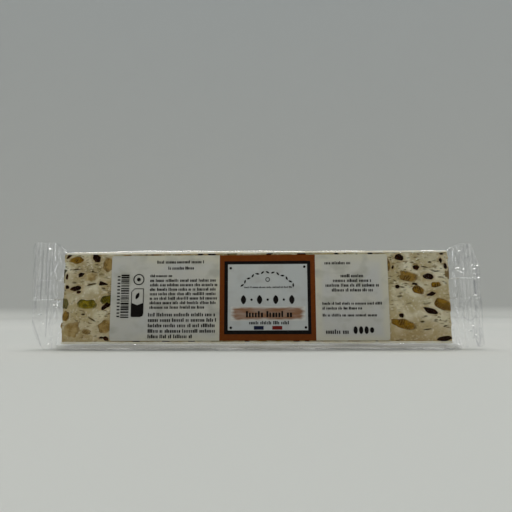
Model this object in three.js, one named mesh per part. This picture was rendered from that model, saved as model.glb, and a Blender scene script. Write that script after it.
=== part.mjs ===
// A nougat bar in a clear flow wrap, standing on its long narrow side, with a paper sticker on its front.
// Millimetres, +Z up. +X runs along the bar and -Y is the labelled front. The origin is at the middle of the foot.
//
// The wrap is sealed, so it is one solid out to the film: the block over the bar, a shoulder at each end where the
// film closes from the bar's depth to nothing, the two crimped end seals, and the long seal that lies flat on the back.

import * as THREE from "three";

// The bar inside the wrap.
const BAR_LENGTH = 181;
const BAR_HEIGHT = 43;
const BAR_DEPTH = 12;

// The film round it.
const FILM_SLACK = 0.2; // between the bar and the film, in front, behind and on top
const POUCH_DROP = 3; // loose film under the bar, which the pack stands on
const POUCH_INSET = 2; // how far the pouch is narrower than the bar, on each side
const TOP_ROUND = 0.8;

// The end seals.
const SHOULDER = 7.4; // from the bar's end to the crimp
const SEAL_HALF_THICKNESS = 0.35;
const SEAL_ROUND = 0.2;
const RIB_PITCH = 1.84;
const RIB_HEIGHT = 0.25; // of each crimp rib, to either side of the seal's middle

// Each seal's lower and upper edge, how many ribs wide it is, and how far its outer corners are turned in, as
// [width, height]. A seal with a flare gets wider by that much for each millimetre up.
const LEFT_SEAL = { foot: 0, top: 51.9, ribs: 5.5, footCorner: [6.1, 10.9], topCorner: [1.5, 1], flare: 0.04 };
const RIGHT_SEAL = { foot: 1, top: 49.9, ribs: 5, footCorner: [1.5, 1], topCorner: [3.7, 11], flare: 0 };
const CORNER_CURVE = 1.4; // 1 would cut a corner straight, and more makes it rounder

// The long seal, folded up flat on the back.
const BACK_SEAL_FOOT = 23.6; // about half way up the pack, where the film's two edges meet
const BACK_SEAL_WIDTH = 10;
const BACK_SEAL_PROUD = 0.8;
const BACK_SEAL_BEVEL = 0.6;

// The sticker.
const LABEL_LENGTH = 129.7;
const LABEL_HEIGHT = 39.8;
const LABEL_THICKNESS = 0.3;
const LABEL_CORNER = 1.3;
const LABEL_GAP = 0.05; // to the film it is stuck on
const LABEL_LEFT = -67.5; // its left edge, from the bar's middle
const LABEL_FOOT = 4.4;

// Worked out from those.
const HALF_LENGTH = BAR_LENGTH / 2;
const HALF_DEPTH = BAR_DEPTH / 2 + FILM_SLACK;
const BODY_TOP = POUCH_DROP + BAR_HEIGHT + FILM_SLACK;
const LABEL_PROUD = LABEL_GAP + LABEL_THICKNESS;
const BODY_Y = (LABEL_PROUD - BACK_SEAL_PROUD) / 2; // puts the pack's front and back at equal distance from the origin

const PAPER = new THREE.MeshStandardMaterial({ color: 0xeceae4, roughness: 0.55, metalness: 0 });
const WRAPPED_NOUGAT = new THREE.MeshStandardMaterial({ color: 0xe1d1b1, roughness: 0.25, metalness: 0 });

const { lerp, clamp } = THREE.MathUtils;

// Points on the quarter of an ellipse from angle `from`, in quarter turns, both ends included.
function quarterArc(centreY, centreZ, radiusY, radiusZ, from, steps) {
  return Array.from({ length: steps + 1 }, (_, i) => {
    const angle = ((from + i / steps) * Math.PI) / 2;
    return [centreY + radiusY * Math.cos(angle), centreZ + radiusZ * Math.sin(angle)];
  });
}

// `count` points spread evenly between two heights at one depth, both ends left out.
function face(y, fromZ, toZ, count) {
  return Array.from({ length: count }, (_, i) => [y, lerp(fromZ, toZ, (i + 1) / (count + 1))]);
}

// The wrap's outline across the bar, as [y, z] points, anticlockwise with +Y to the right.
// Every station has the same number of points, so that neighbours join up.
function outline({ halfDepth, foot, top, inset, drop, round, proud, shift }) {
  const arcSteps = 3;
  const facePoints = 3;
  const seamHigh = BACK_SEAL_FOOT + BACK_SEAL_WIDTH;
  const low = foot + drop;
  const high = top - round;
  const points = [
    ...quarterArc(halfDepth - inset, low, inset, drop, -1, arcSteps),
    ...face(halfDepth, low, BACK_SEAL_FOOT - BACK_SEAL_BEVEL, 1),
    [halfDepth, BACK_SEAL_FOOT - BACK_SEAL_BEVEL],
    [halfDepth + proud, BACK_SEAL_FOOT],
    [halfDepth + proud, seamHigh],
    [halfDepth, seamHigh + BACK_SEAL_BEVEL],
    ...face(halfDepth, seamHigh + BACK_SEAL_BEVEL, high, 1),
    ...quarterArc(halfDepth - round, high, round, round, 0, arcSteps),
    ...quarterArc(round - halfDepth, high, round, round, 1, arcSteps),
    ...face(-halfDepth, high, low, facePoints),
    ...quarterArc(inset - halfDepth, low, inset, drop, 2, arcSteps),
  ];
  return points.map(([y, z]) => [y + shift, z]);
}

// The crimp: ribs of one pitch, from 0 at the seal's inner edge.
function ribShift(out) {
  return RIB_HEIGHT * Math.sin((2 * Math.PI * Math.max(out - SHOULDER, 0)) / RIB_PITCH);
}

// How far a seal's outer edge lies from the bar's end.
function reachOf(seal) {
  return SHOULDER + seal.ribs * RIB_PITCH;
}

// How much of a seal's height its turned-in corner takes away, at `toEdge` from the seal's outer edge.
function cornerCut([width, height], toEdge) {
  const across = clamp(1 - toEdge / width, 0, 1);
  return height * across ** CORNER_CURVE;
}

// The outline at `out` beyond the bar's end, on the left (side -1) or the right (side +1).
function endStation(side, out) {
  const seal = side < 0 ? LEFT_SEAL : RIGHT_SEAL;
  const closing = clamp(out / SHOULDER, 0, 1);
  const toEdge = reachOf(seal) - out;
  const flare = (seal.flare * out) / reachOf(seal);
  const points = outline({
    halfDepth: lerp(HALF_DEPTH, SEAL_HALF_THICKNESS, closing),
    foot: lerp(0, seal.foot, closing) + cornerCut(seal.footCorner, toEdge),
    top: lerp(BODY_TOP, seal.top, closing) - cornerCut(seal.topCorner, toEdge),
    inset: lerp(POUCH_INSET, SEAL_ROUND, closing),
    drop: lerp(POUCH_DROP, SEAL_ROUND, closing),
    round: lerp(TOP_ROUND, SEAL_ROUND, closing),
    proud: lerp(BACK_SEAL_PROUD, 0, closing),
    shift: ribShift(out),
  });
  return points.map(([y, z]) => [side * (HALF_LENGTH + out + flare * (z - BACK_SEAL_FOOT)), y, z]);
}

// How far beyond the bar's end each station lies: the shoulder, then every crest and hollow of the ribs.
function endDistances(seal) {
  const shoulder = [0, 0.25, 0.5, 0.75].map((share) => share * SHOULDER);
  const quarters = seal.ribs * 4;
  const ribs = Array.from({ length: quarters + 1 }, (_, i) => i)
    .filter((i) => i % 2 === 1 || i === 0 || i === quarters)
    .map((i) => SHOULDER + (RIB_PITCH * i) / 4);
  return [...shoulder, ...ribs];
}

// A closed mesh through the stations, which are rings of [x, y, z] points, with a fan over each end.
function loft(stations) {
  const perRing = stations[0].length;
  const positions = stations.flat(2);
  const faces = [];
  for (let s = 0; s < stations.length - 1; s++) {
    for (let i = 0; i < perRing; i++) {
      const a = s * perRing + i;
      const b = s * perRing + ((i + 1) % perRing);
      faces.push(a, b, a + perRing, b, b + perRing, a + perRing);
    }
  }
  for (const [s, turned] of [[0, true], [stations.length - 1, false]]) {
    const middle = [0, 1, 2].map((axis) => stations[s].reduce((sum, point) => sum + point[axis], 0) / perRing);
    const hub = positions.length / 3;
    positions.push(...middle);
    for (let i = 0; i < perRing; i++) {
      const a = s * perRing + i;
      const b = s * perRing + ((i + 1) % perRing);
      faces.push(hub, ...(turned ? [b, a] : [a, b]));
    }
  }
  const geometry = new THREE.BufferGeometry();
  geometry.setAttribute("position", new THREE.Float32BufferAttribute(positions, 3));
  geometry.setIndex(faces);
  geometry.computeVertexNormals();
  return geometry;
}

// The film pack, lofted from the left seal's edge to the right one's.
function filmPack() {
  const left = endDistances(LEFT_SEAL).toReversed();
  const right = endDistances(RIGHT_SEAL);
  const stations = [...left.map((out) => endStation(-1, out)), ...right.map((out) => endStation(1, out))];
  const mesh = new THREE.Mesh(loft(stations), WRAPPED_NOUGAT);
  mesh.name = "film_pack";
  mesh.position.y = BODY_Y;
  return mesh;
}

// A rectangle with round corners, from its lower left corner.
function roundedRectangle(width, height, radius) {
  const shape = new THREE.Shape();
  shape.moveTo(radius, 0);
  shape.lineTo(width - radius, 0);
  shape.absarc(width - radius, radius, radius, -Math.PI / 2, 0);
  shape.lineTo(width, height - radius);
  shape.absarc(width - radius, height - radius, radius, 0, Math.PI / 2);
  shape.lineTo(radius, height);
  shape.absarc(radius, height - radius, radius, Math.PI / 2, Math.PI);
  shape.lineTo(0, radius);
  shape.absarc(radius, radius, radius, Math.PI, Math.PI * 1.5);
  return shape;
}

// The sticker on the film's front.
function label() {
  const sheet = roundedRectangle(LABEL_LENGTH, LABEL_HEIGHT, LABEL_CORNER);
  const geometry = new THREE.ExtrudeGeometry(sheet, {
    depth: LABEL_THICKNESS,
    bevelEnabled: false,
    curveSegments: 5,
  });
  const mesh = new THREE.Mesh(geometry, PAPER);
  mesh.name = "label";
  mesh.rotation.x = Math.PI / 2; // stands the sheet up, with its thickness towards the front
  mesh.position.set(LABEL_LEFT, BODY_Y - HALF_DEPTH - LABEL_GAP, LABEL_FOOT);
  return mesh;
}

// The two seals differ in width, so both solids move along to put the pack's ends at equal distance from the origin.
const solids = [filmPack(), label()];
const middle = new THREE.Box3().setFromObject(solids[0]).getCenter(new THREE.Vector3());
solids.forEach((solid) => solid.position.setX(solid.position.x - middle.x));

const nougatBar = new THREE.Group();
nougatBar.add(...solids);

export default nougatBar;
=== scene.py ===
"""A wrapped nougat bar: clear film with crimped ends, nougat full of nuts, two wafers and a printed sticker.

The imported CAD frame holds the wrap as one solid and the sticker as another. Here the wrap becomes clear film
with the bar in it. The axes are the frame's own: +X along the bar, -Y the front with the sticker, +Z up.
Lengths are in millimetres. Only the lights, the backdrop and the scales of textures are in metres.
"""

import math
import random
from collections import namedtuple

import bpy
import numpy as np
from mathutils import Matrix, Vector, noise


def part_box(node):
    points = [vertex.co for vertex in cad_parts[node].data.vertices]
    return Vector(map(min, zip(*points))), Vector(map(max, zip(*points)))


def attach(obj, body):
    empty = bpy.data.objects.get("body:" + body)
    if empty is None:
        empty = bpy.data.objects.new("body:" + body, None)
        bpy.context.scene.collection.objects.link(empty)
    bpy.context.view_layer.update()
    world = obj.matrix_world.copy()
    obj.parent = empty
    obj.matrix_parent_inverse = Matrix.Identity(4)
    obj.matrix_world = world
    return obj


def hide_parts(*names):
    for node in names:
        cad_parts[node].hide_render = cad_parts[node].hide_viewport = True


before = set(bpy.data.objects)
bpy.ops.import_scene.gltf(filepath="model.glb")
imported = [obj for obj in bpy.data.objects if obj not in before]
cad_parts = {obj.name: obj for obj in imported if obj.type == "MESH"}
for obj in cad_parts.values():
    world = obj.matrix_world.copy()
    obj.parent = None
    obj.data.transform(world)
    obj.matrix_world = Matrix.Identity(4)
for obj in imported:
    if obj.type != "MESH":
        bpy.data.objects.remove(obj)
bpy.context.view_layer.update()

MM = 0.001  # in metres
TURN = 2 * math.pi
pack_low, pack_high = (Vector(corner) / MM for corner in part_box("film_pack"))
label_low, label_high = (Vector(corner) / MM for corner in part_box("label"))

# The bar, which the CAD solid of the wrap hides.
BAR_LENGTH = 181
BAR_HEIGHT = 43
BAR_DEPTH = 12
FILM_SLACK = 0.2  # between the bar and the film, in front, behind and on top
POUCH_DROP = 3  # loose film under the bar, down to the table
WAFER_THICKNESS = 1.0

HALF_LENGTH = BAR_LENGTH / 2
HALF_DEPTH = BAR_DEPTH / 2 + FILM_SLACK  # out to the film
BAR_FRONT = pack_low.y + FILM_SLACK
BAR_BACK = BAR_FRONT + BAR_DEPTH
BAR_MIDDLE_Y = (BAR_FRONT + BAR_BACK) / 2
BAR_FOOT = pack_low.z + POUCH_DROP
BAR_TOP = BAR_FOOT + BAR_HEIGHT

# The end seals, as the CAD solid has them. A corner is turned in by so much of the seal's width and height.
SHOULDER = 7.4  # from the bar's end to the crimp
RIB_PITCH = 1.84
Seal = namedtuple("Seal", "foot top ribs foot_corner top_corner flare")
LEFT_SEAL = Seal(0, 51.9, 5.5, (6.1, 10.9), (1.5, 1), 0.04)
RIGHT_SEAL = Seal(1, 49.9, 5, (1.5, 1), (3.7, 11), 0)


def reach_of(seal):
    """How far a seal's outer edge lies from the bar's end."""
    return SHOULDER + seal.ribs * RIB_PITCH


# Where the bar's middle is along X. Every piece is drawn from there, and new_piece moves it into place.
BAR_X = pack_high.x - HALF_LENGTH - reach_of(RIGHT_SEAL)
LABEL_LEFT = label_low.x - BAR_X
LABEL_RIGHT = label_high.x - BAR_X


# ---- Meshes ----


def add_object(name, data):
    """A new object in the scene."""
    thing = bpy.data.objects.new(name, data)
    bpy.context.scene.collection.objects.link(thing)
    return thing


def add_mesh(name, points, faces, material, smooth=True):
    """A new mesh object of one material, from points in metres."""
    mesh = bpy.data.meshes.new(name)
    mesh.from_pydata(points, [], faces)
    mesh.shade_smooth() if smooth else mesh.shade_flat()
    mesh.materials.append(material)
    return add_object(name, mesh)


def new_piece(name, points, faces, material, slot, smooth=True, **values):
    """A mesh object that rides on the part's one body, from points drawn round the bar's middle. Each of
    `values` is a number or a vector for every point, which the material reads by its name."""
    piece = add_mesh(name, ((np.array(points) + (BAR_X, 0, 0)) * MM).tolist(), faces, material, smooth)
    for key, data in values.items():
        data = np.asarray(data, np.float32)
        kind, field = ("FLOAT", "value") if data.ndim == 1 else ("FLOAT_VECTOR", "vector")
        piece.data.attributes.new(key, kind, "POINT").data.foreach_set(field, data.ravel())
    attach(piece, "root")
    return piece


def block(xs, ys, zs):
    """The closed surface of a box with grid lines at xs, ys and zs, as (points, faces)."""
    grids = (xs, ys, zs)
    index = {}
    faces = []
    for axis in range(3):
        first, second = (axis + 1) % 3, (axis + 2) % 3
        for side in (0, len(grids[axis]) - 1):
            for i in range(len(grids[first]) - 1):
                for j in range(len(grids[second]) - 1):
                    ring = []
                    for di, dj in ((0, 0), (1, 0), (1, 1), (0, 1)):
                        key = [side] * 3
                        key[first], key[second] = i + di, j + dj
                        ring.append(index.setdefault(tuple(key), len(index)))
                    faces.append(ring if side else ring[::-1])
    return np.array([[grid[n] for grid, n in zip(grids, key)] for key in index]), faces


def loft(ring_count, per_ring):
    """The faces of a skin through rings of points that run anticlockwise seen from the last one, with a face
    over the first ring and one over the last."""
    faces = []
    for start in range(0, (ring_count - 1) * per_ring, per_ring):
        for n in range(per_ring):
            a, b = start + n, start + (n + 1) % per_ring
            faces.append((a, b, b + per_ring, a + per_ring))
    first = range(per_ring)
    return faces + [tuple(first)[::-1], tuple(n + (ring_count - 1) * per_ring for n in first)]


class Heap:
    """Many small closed bodies that make one piece."""

    def __init__(self):
        self.points, self.faces, self.values = [], [], {}

    def add(self, points, faces, **values):
        start = len(self.points)
        self.points.extend(points)
        self.faces.extend(tuple(start + n for n in face) for face in faces)
        for key, data in values.items():
            self.values.setdefault(key, []).extend(data)

    def add_lofted(self, rings):
        self.add(np.vstack(rings), loft(len(rings), len(rings[0])))

    def finish(self, name, material, slot, **rest):
        return new_piece(name, self.points, self.faces, material, slot, **self.values, **rest)


def round_edges(points, low, high, radius):
    """Moves the points on a box's surface in, so that its edges are round."""
    inner = np.clip(points, np.array(low) + radius, np.array(high) - radius)
    out = points - inner
    reach = np.linalg.norm(out, axis=1, keepdims=True)
    return inner + out / np.maximum(reach, 1e-9) * np.minimum(reach, radius)


def steps(low, high, size):
    """Evenly spaced grid lines from low to high, about `size` apart."""
    return list(np.linspace(low, high, max(2, round((high - low) / size) + 1)))


def banded(borders, sizes):
    """Grid lines through all of the borders, with a size of its own for each band between two of them."""
    bands = [steps(low, high, size)[:-1] for low, high, size in zip(borders, borders[1:], sizes)]
    return [line for band in bands for line in band] + [borders[-1]]


def turned(u, v, x, z, tilt):
    """The places of u and v, which are turned by `tilt` degrees about their origin and moved to x and z."""
    turn = math.radians(tilt)
    return x + u * math.cos(turn) - v * math.sin(turn), z + u * math.sin(turn) + v * math.cos(turn)


def smooth_step(value, low, high):
    """0 below low, 1 above high, and smooth between them."""
    share = np.clip((np.asarray(value) - low) / (high - low), 0, 1)
    return share * share * (3 - 2 * share)


def noise_at(points, size, seed=0.0):
    """Smooth noise from about -1 to 1 at each point, with bumps about `size` across: a number, or one for
    each axis, which stretches them."""
    return np.array([noise.noise(Vector(p)) for p in np.asarray(points) / np.asarray(size) + seed])


def creases_at(points, size, seed=0.0):
    """Like noise_at, from 0 to about 1, with sharp folds where it is 0."""
    return np.abs(noise_at(points, size, seed)) * 2


LEVEL = 1000  # a noise size so long that nothing changes along its axis


# ---- Materials ----


def colour(red, green, blue):
    """An sRGB colour of 0 to 255 as the linear one that shaders take."""
    linear = (((c / 255 + 0.055) / 1.055) ** 2.4 if c > 10 else c / 255 / 12.92 for c in (red, green, blue))
    return (*linear, 1)


WHITE = (1, 1, 1, 1)


class Look:
    """A material while its shader nodes are put together."""

    def __init__(self, name):
        self.material = bpy.data.materials.new(name)
        self.material.use_nodes = True
        self.tree = self.material.node_tree
        self.tree.nodes.clear()

    def add(self, kind, inputs, **settings):
        """A shader node's outputs. `inputs` maps sockets to numbers, colours or other nodes' outputs."""
        node = self.tree.nodes.new("ShaderNode" + kind)
        for key, value in settings.items():
            setattr(node, key, value)
        for key, value in inputs.items():
            if isinstance(value, bpy.types.NodeSocket):
                self.tree.links.new(value, node.inputs[key])
            else:
                node.inputs[key].default_value = value
        return node.outputs

    def value(self, name, output="Fac"):
        """A value that the mesh carries."""
        return self.add("Attribute", {}, attribute_name=name)[output]

    def mix(self, share, first, second, blend="MIX"):
        """The colour `share` of the way from first to second."""
        return self.add("Mix", {0: share, 6: first, 7: second}, data_type="RGBA", blend_type=blend)[2]

    def ramp(self, value, low, high, to_low=0.0, to_high=1.0, curve="LINEAR"):
        """to_low up to low, to_high from high, and between them in between."""
        limits = {"From Min": low, "From Max": high, "To Min": to_low, "To Max": to_high}
        return self.add("MapRange", {"Value": value, **limits}, interpolation_type=curve)[0]

    def maths(self, operation, *values, clamped=False):
        return self.add("Math", dict(enumerate(values)), operation=operation, use_clamp=clamped)[0]

    def product(self, first, second):
        """Two values multiplied, and held between 0 and 1."""
        return self.maths("MULTIPLY", first, second, clamped=True)

    def noise(self, scale, detail=2.0, place=None, stretch=None):
        """Noise with spots about 1 / scale across."""
        place = place or self.add("TexCoord", {})["Object"]
        if stretch:
            place = self.add("Mapping", {"Vector": place, "Scale": stretch})[0]
        return self.add("TexNoise", {"Vector": place, "Scale": scale, "Detail": detail})[0]

    def spots(self, scale, low, high, detail=2.0, stretch=None):
        """Noise that is 0 up to low and 1 from high."""
        return self.ramp(self.noise(scale, detail, stretch=stretch), low, high, curve="SMOOTHSTEP")

    def bump(self, strength, depth, height, under=None):
        """The normal on a relief that is `depth` millimetres deep, over that of the relief `under`."""
        inputs = {"Strength": strength, "Distance": depth * MM, "Height": height}
        if under:
            inputs["Normal"] = under
        return self.add("Bump", inputs)[0]

    def finish(self, shader):
        self.add("OutputMaterial", {"Surface": shader})
        return self.material

    def principled(self, base, roughness, specular, bump=None, waxy=None):
        """The finished material, of this colour. `waxy` is how much light goes into it, how deep as shares
        for red, green and blue, and how deep in millimetres."""
        inputs = {"Base Color": base, "Roughness": roughness, "Specular IOR Level": specular}
        if bump:
            inputs["Normal"] = bump
        if waxy:
            inputs["Subsurface Weight"], inputs["Subsurface Radius"] = waxy[:2]
            inputs["Subsurface Scale"] = waxy[2] * MM
        return self.finish(self.add("BsdfPrincipled", inputs)[0])


def nougat_material():
    look = Look("nougat")
    cream = look.mix(look.spots(130, 0.32, 0.64), colour(238, 231, 204), colour(195, 179, 136))
    cream = look.mix(look.spots(70, 0.48, 0.76, stretch=(0.6, 1, 1)), cream, colour(172, 152, 106))
    cream = look.mix(look.spots(900, 0.5, 0.85), cream, colour(246, 240, 220))
    for dashes, patches, shade in (
        ((800, 0.62, 0.7), (55, 0.45, 0.6), colour(146, 128, 80)),
        ((1700, 0.6, 0.68), (90, 0.44, 0.6), colour(110, 94, 52)),
    ):
        torn = look.product(look.spots(*dashes, detail=1, stretch=(0.3, 1, 1)), look.spots(*patches))
        cream = look.mix(torn, cream, shade)
    # Painted shade darkens the nougat towards its foot, and it is darker round each bit.
    cream = look.mix(look.value("stain"), cream, colour(178, 146, 84))
    # Painted shade in the pores and slits.
    cream = look.mix(look.value("pore"), cream, colour(100, 84, 40))
    bump = look.bump(0.35, 0.15, look.spots(1800, 0.3, 0.7, 3))
    return look.principled(cream, 0.5, 0.3, bump, waxy=(0.3, (1.0, 0.7, 0.4), 1.2))


def nut_material(name, pale, dark, skin, line_scale, rim_strength):
    """A cut nut: pale to dark from nut to nut and across each, with lines and mottles on the darker ones, a
    darker skin along part of its rim, and a veil of nougat smeared over some of it."""
    look = Look(name)
    grain = look.value("grain", "Vector")
    tone = look.value("tone")
    broad = look.noise(0.35, 3, grain)
    patches = look.ramp(broad, 0.44, 0.56, 0, 0.85)
    flesh = look.mix(patches, look.mix(tone, pale, dark), look.mix(tone, dark, skin))
    wave_inputs = {"Vector": grain, "Scale": line_scale, "Distortion": 5, "Detail": 3, "Detail Scale": 0.8}
    wave = look.add("TexWave", wave_inputs, wave_type="BANDS", bands_direction="X")["Fac"]
    for lines, ink in ((look.ramp(wave, 0.6, 0.95, 0, 0.75), skin), (look.ramp(wave, 0.3, 0), pale)):
        flesh = look.mix(look.product(look.product(tone, lines), patches), flesh, ink)
    mottle = look.ramp(look.noise(0.9, 4, grain), 0.48, 0.66, 0, 0.55)
    flesh = look.mix(look.product(mottle, tone), flesh, skin)
    flesh = look.mix(look.ramp(look.value("rim"), 0.55, 1, 0, rim_strength), flesh, skin)
    smear = look.ramp(broad, 0.35, 0.65, 1.3, 0.5)
    flesh = look.mix(look.product(look.value("veil"), smear), flesh, colour(222, 208, 166))
    return look.principled(flesh, 0.5, 0.05, look.bump(0.3, 0.12, wave), waxy=(0.15, (1.0, 0.6, 0.3), 0.8))


def caramel_material():
    look = Look("caramel")
    brown = look.mix(look.value("tone"), colour(18, 7, 2), colour(40, 18, 5))
    brown = look.mix(look.spots(450, 0.54, 0.78), brown, colour(74, 40, 14))
    brown = look.mix(look.ramp(look.value("rim"), 0.88, 1, 0, 0.4), brown, colour(88, 48, 22))
    return look.principled(brown, 0.6, 0.02, look.bump(0.5, 0.2, look.spots(1100, 0.3, 0.7)))


def wafer_material():
    look = Look("wafer")
    white = look.mix(look.spots(250, 0.35, 0.7), colour(252, 246, 230), colour(242, 233, 210))
    bump = look.bump(0.3, 0.1, look.spots(1500, 0.3, 0.7))
    return look.principled(white, 0.6, 0.5, bump, waxy=(0.4, (1.0, 0.9, 0.7), 1.0))


GLOSS_STRAIGHT = 0.015  # how much light one layer of film mirrors when seen straight on
GLOSS_FALL = 4.0  # the power by which that grows towards the film's edges


def film_material():
    """Clear film: what isn't mirrored goes straight through, so that nothing behind it looks bent."""
    look = Look("film")
    wrinkles = look.bump(0.12, 0.3, look.spots(220, 0.25, 0.75, stretch=(1, 1, 0.4)))
    bump = look.bump(0.12, 0.15, look.spots(1100, 0.3, 0.7, stretch=(1, 1, 0.05)), wrinkles)
    mirror = look.add("BsdfGlossy", {"Color": WHITE, "Roughness": 0.06, "Normal": bump})[0]
    # The haze is milky white, and dark olive grey in the pouch: painted shade of the shadow under the bar.
    milk = look.mix(look.value("pouch_shade"), colour(235, 236, 238), colour(122, 117, 95))
    haze = look.add("BsdfDiffuse", {"Color": milk})[0]
    # Painted shade: the film lets less light through on sharp folds and ribs, and in the pouch, for the shadow
    # under the bar.
    shade = look.mix(look.value("fold"), (0.99, 0.99, 0.99, 1), (0.82, 0.82, 0.84, 1))
    clear = look.add("BsdfTransparent", {"Color": shade})[0]
    grazing = look.maths("POWER", look.add("LayerWeight", {"Normal": bump})["Facing"], GLOSS_FALL)
    one_layer = look.ramp(grazing, 0, 1, GLOSS_STRAIGHT)
    body = look.add("MixShader", {0: look.value("haze"), 1: clear, 2: haze})[0]
    gloss = look.product(one_layer, look.value("layers"))
    return look.finish(look.add("MixShader", {0: gloss, 1: body, 2: mirror})[0])


def with_foot_shade(look, paint):
    """A colour on the sticker, with painted shade that darkens it a little towards the sticker's foot."""
    return look.mix(1.0, paint, look.mix(look.value("low"), WHITE, (0.84, 0.84, 0.85, 1)), "MULTIPLY")


def paper_material(name, warm, cool, dim):
    """The sticker's paper, a little see-through: `warm` where nougat touches it, `cool` where it doesn't, and
    `dim` over dark bits."""
    look = Look(name)
    white = look.mix(look.spots(90, 0.35, 0.65), cool, look.mix(0.4, cool, warm))
    white = look.mix(look.value("warmth"), white, warm)
    white = look.mix(look.spots(110, 0.5, 0.75, stretch=(1, 1, 1.4)), white, dim)
    return look.principled(with_foot_shade(look, white), 0.5, 0.3, look.bump(0.15, 0.05, look.spots(2500, 0.3, 0.7)))


def ink_material(name, ink, worn):
    """Print: ink that is a little uneven, as on uncoated paper."""
    look = Look(name)
    shade = with_foot_shade(look, look.mix(look.spots(600, 0.35, 0.75, 4), ink, worn))
    return look.principled(shade, 0.5, 0.1, look.bump(0.1, 0.05, look.spots(2500, 0.3, 0.7)))


def brushed_material(ink, paper):
    """A soft stroke of thin brown colour: full in its middle, streaky, and fading out into the paper."""
    look = Look("brushed_ink")
    streaks = look.spots(900, 0.2, 0.8, 3, stretch=(0.12, 1, 1))
    cover = look.ramp(look.maths("MULTIPLY_ADD", streaks, 0.45, look.value("edge")), 0.25, 1.3)
    return look.principled(with_foot_shade(look, look.mix(cover, paper, ink)), 0.5, 0.2)


# ---- What is set in the nougat ----

# A bit in a cut face: its middle as x and z, its length and height, and its tilt in degrees, all seen from
# outside that face. `corners` is 0 for a smooth oval, and otherwise how many corners the bit has. Its tone is
# from 0 for pale to 1 for dark, its veil is how much nougat is smeared over it, and its skin shows most in
# the direction `skin`, in degrees.
Bit = namedtuple("Bit", "x z length height tilt corners tone veil skin", defaults=(0, 0, 0.5, 0.2, 0))

# The two stretches of the front that the sticker leaves bare, and what shows above the sticker.
FRONT_ALMONDS = [
    Bit(-84.9, 42.4, 7.6, 3.9, 2, 0, 0.8, 0.0, -20),
    Bit(-69.0, 40.1, 7.6, 7.0, 60, 0, 0.45, 0.15, -150),
    Bit(-77.5, 34.2, 5.2, 4.5, -20, 0, 0.25, 0.35, -10),
    Bit(-88.8, 15.9, 3.6, 5.4, -12, 0, 0.8, 0.05, 0),
    Bit(-85.9, 9.3, 8.4, 8.3, 0, 0, 0.2, 0.25, 50),
    Bit(-78.8, 8.6, 4.6, 2.7, -12, 0, 0.6, 0.25, 0),
    Bit(-69.9, 11.0, 7.2, 6.6, 20, 0, 0.4, 0.15, 160),
    Bit(62.0, 39.3, 3.6, 7.0, 0, 0, 0.8, 0.1, 0),
    Bit(71.8, 33.7, 8.8, 5.0, -14, 0, 0.75, 0.05, 190),
    Bit(84.4, 29.8, 4.9, 2.7, 3, 0, 1.0, 0.0, 180),
    Bit(76.2, 27.5, 6.2, 4.1, -22, 0, 0.9, 0.0, 200),
    Bit(87.4, 20.6, 9.4, 5.4, -28, 0, 0.75, 0.0, 170),
    Bit(68.7, 11.7, 12.6, 5.4, -13, 0, 0.8, 0.0, 190),
    Bit(-47.0, 44.6, 4.4, 1.2, 0, 0, 1.0, 0.1, 90),
]
FRONT_PISTACHIOS = [
    Bit(-79.3, 21.4, 10.8, 5.1, -2, 0, 0.2, 0.0, 80),
    Bit(-69.2, 23.5, 7.2, 4.4, 14, 0, 0.8, 0.0, 140),
    Bit(-89.4, 21.7, 3.6, 5.8, 8, 0, 1.0, 0.1, 0),
]
FRONT_CARAMELS = [
    Bit(-88.4, 44.3, 3.4, 1.5, 48, 5),
    Bit(-75.2, 43.3, 5.2, 3.5, -38, 6),
    Bit(-89.0, 34.5, 2.8, 1.3, 84, 6),
    Bit(-82.2, 35.3, 3.4, 2.4, 20, 5),
    Bit(-71.3, 31.4, 4.8, 2.7, -6, 3),
    Bit(-88.7, 29.6, 2.0, 1.9, 0, 7),
    Bit(-84.6, 28.9, 5.6, 2.5, 18, 6),
    Bit(-83.1, 27.2, 2.4, 1.5, 20, 5),
    Bit(-69.9, 20.7, 5.6, 2.7, 34, 5),
    Bit(-69.3, 5.4, 3.2, 2.2, -50, 5),
    Bit(-71.4, 5.9, 2.4, 1.1, 4, 5),
    Bit(68.1, 42.6, 4.8, 3.6, -8, 7),
    Bit(64.7, 38.1, 2.0, 1.1, 80, 5),
    Bit(75.5, 37.8, 3.4, 2.4, -4, 5),
    Bit(87.5, 44.2, 2.2, 1.0, 0, 6),
    Bit(86.9, 41.1, 2.7, 1.6, 100, 4),
    Bit(89.0, 38.6, 3.3, 1.8, -74, 6),
    Bit(80.9, 33.5, 5.3, 3.4, -12, 9),
    Bit(66.6, 29.0, 2.3, 1.9, 0, 7),
    Bit(74.5, 30.2, 2.9, 1.1, -12, 5),
    Bit(81.9, 25.6, 4.9, 2.1, 16, 4),
    Bit(81.3, 17.8, 7.7, 3.0, -19, 6),
    Bit(67.8, 15.7, 2.5, 2.3, -30, 6),
    Bit(86.8, 5.2, 7.2, 2.6, 7, 7),
    Bit(-25.5, 44.7, 3.0, 1.1, 0, 5),
    Bit(-20.1, 44.65, 4.4, 1.3, 0, 5),
    Bit(54.5, 44.6, 2.6, 1.2, 0, 5),
]
# Long thin gaps in the nougat, where it tore or dried.
FRONT_SLITS = [
    Bit(-84.7, 37.9, 3.2, 0.45, 5),
    Bit(-77.2, 30.7, 4.3, 0.6, 14),
    Bit(-76.4, 14.4, 3.6, 0.5, -30),
    Bit(-80.6, 16.8, 1.7, 0.7, 0),
    Bit(-76.8, 37.2, 0.9, 0.9, 0),
    Bit(79.5, 38.1, 2.8, 0.4, -8),
    Bit(84.9, 36.1, 2.8, 0.3, 2),
    Bit(81.9, 40.3, 1.4, 0.6, 0),
    Bit(68.6, 28.8, 2.2, 0.5, -6),
    Bit(87.6, 10.8, 1.7, 0.6, 15),
    Bit(79.5, 9.4, 3.4, 0.4, 8),
    Bit(77.3, 12.8, 1.7, 0.6, 0),
]
LABEL_SHADE = 3  # how far under the sticker's edge the front's listed bits reach
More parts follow.
